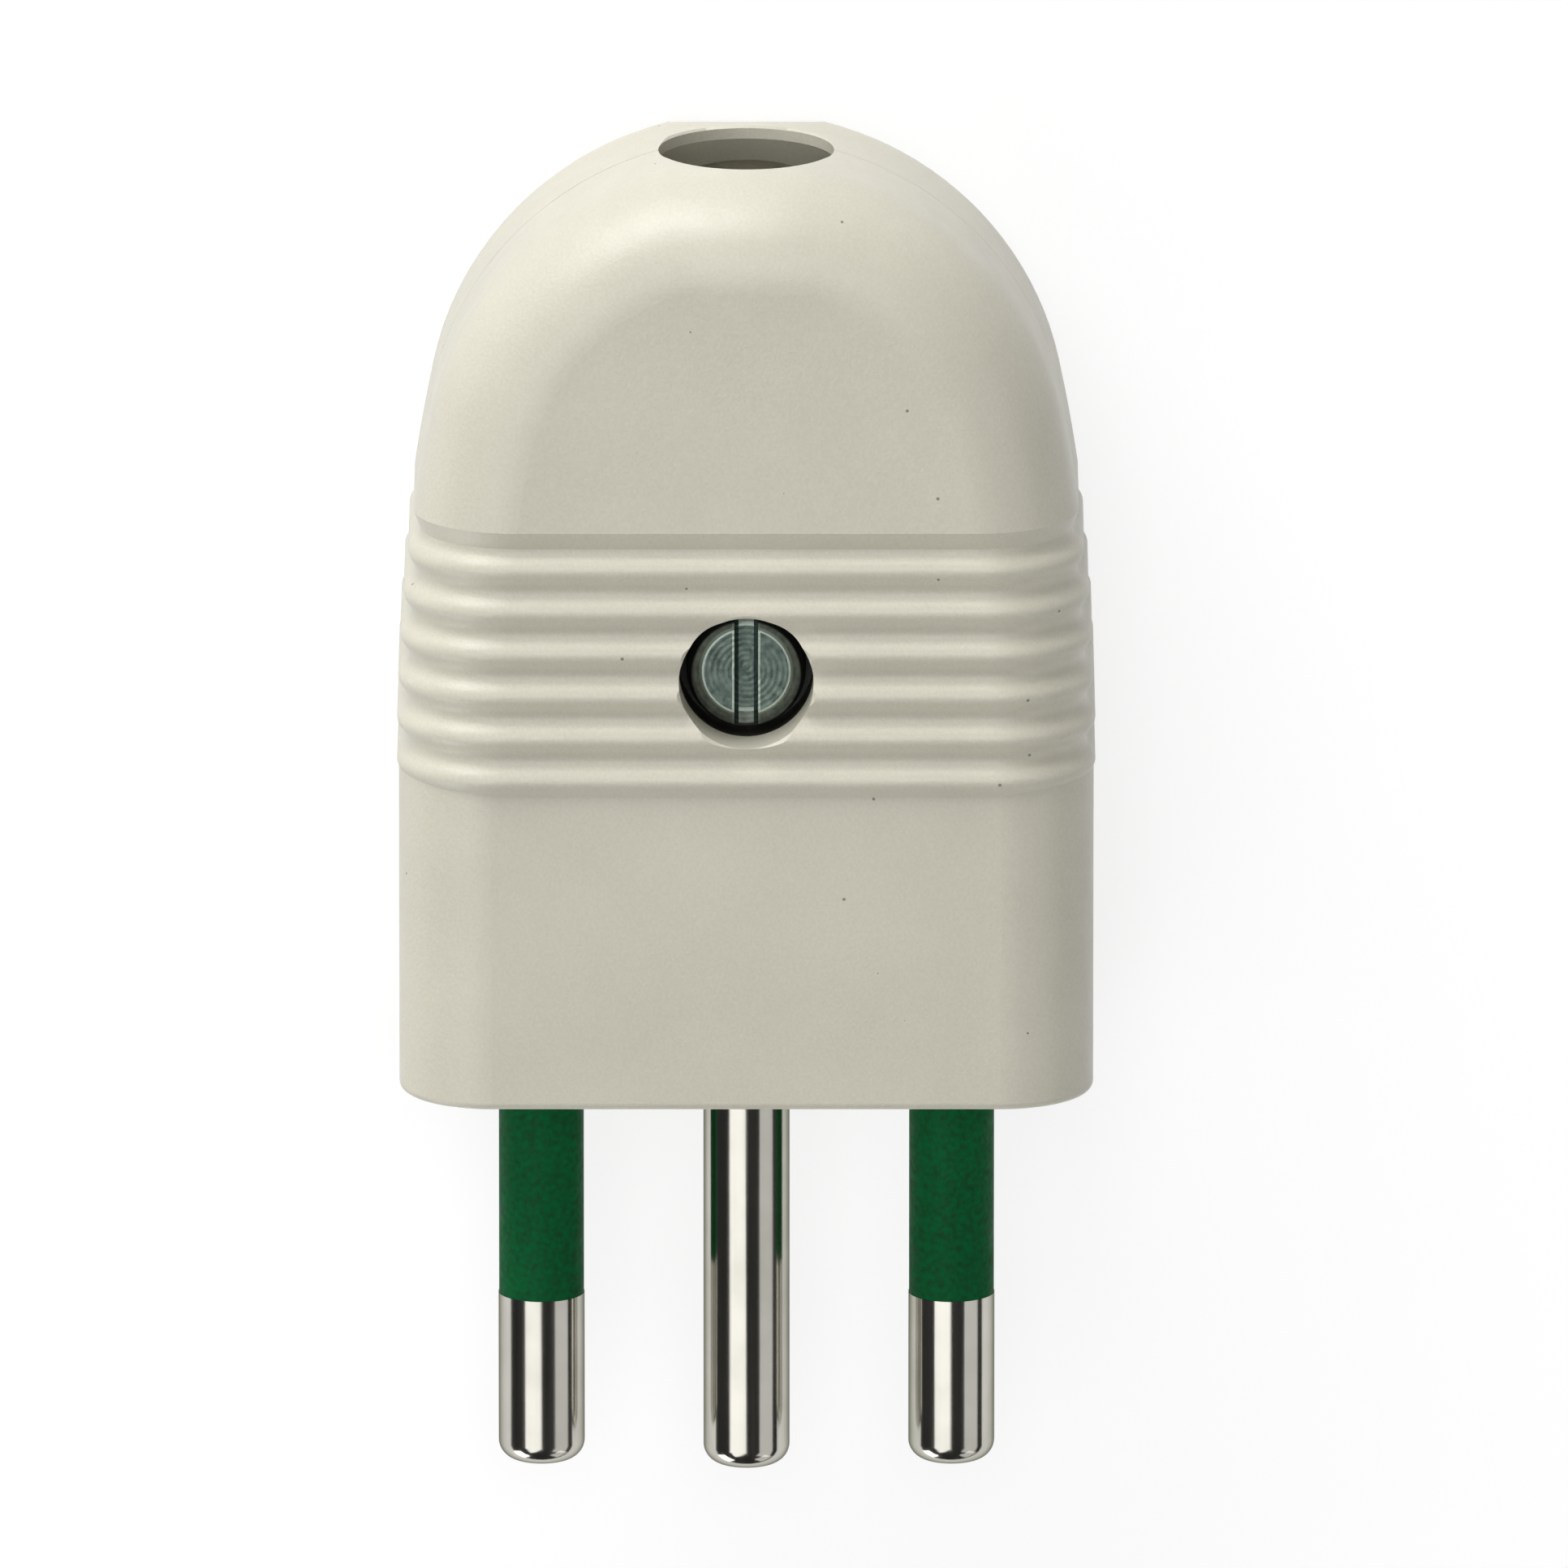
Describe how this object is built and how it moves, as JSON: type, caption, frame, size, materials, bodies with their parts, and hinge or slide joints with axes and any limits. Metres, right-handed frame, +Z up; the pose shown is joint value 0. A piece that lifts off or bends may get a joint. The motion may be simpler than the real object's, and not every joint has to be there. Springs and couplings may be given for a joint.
{
  "type": "three-pin plug",
  "caption": "Ivory rewirable mains plug with round pins in line, green pin sleeves, grip ribs round the housing, a domed cord end and a slotted closing screw.",
  "frame": {"origin": "on the earth pin's axis where it leaves the engagement face, the middle of that face", "axes": "the plug lies on its back: +X across the row of pins, +Y from the engagement face to the cord entry, the pins pointing along -Y, and +Z up, from the rear face to the front face"},
  "size_m": [0.0322, 0.0629, 0.018],
  "materials": {
    "housing": "fine-grained matt moulding",
    "pin_metal": "nickel plated, polished",
    "pin_sleeve": "matt",
    "screw_steel": "dull zinc",
    "insert_brass": "turned",
    "fibre": "pressed fibre"
  },
  "bodies": {
    "root": {"front_cover": "housing", "rear_shell": "housing", "line_pin": "pin_metal", "neutral_pin": "pin_metal", "earth_pin": "pin_metal", "line_pin_sleeve": "pin_sleeve", "neutral_pin_sleeve": "pin_sleeve", "terminal_screws": "screw_steel", "closing_screw": "screw_steel", "closing_screw_washer": "fibre", "threaded_insert": "insert_brass", "cord_clamp_bar": "housing", "cord_clamp_screws": "screw_steel"}
  },
  "joints": []
}
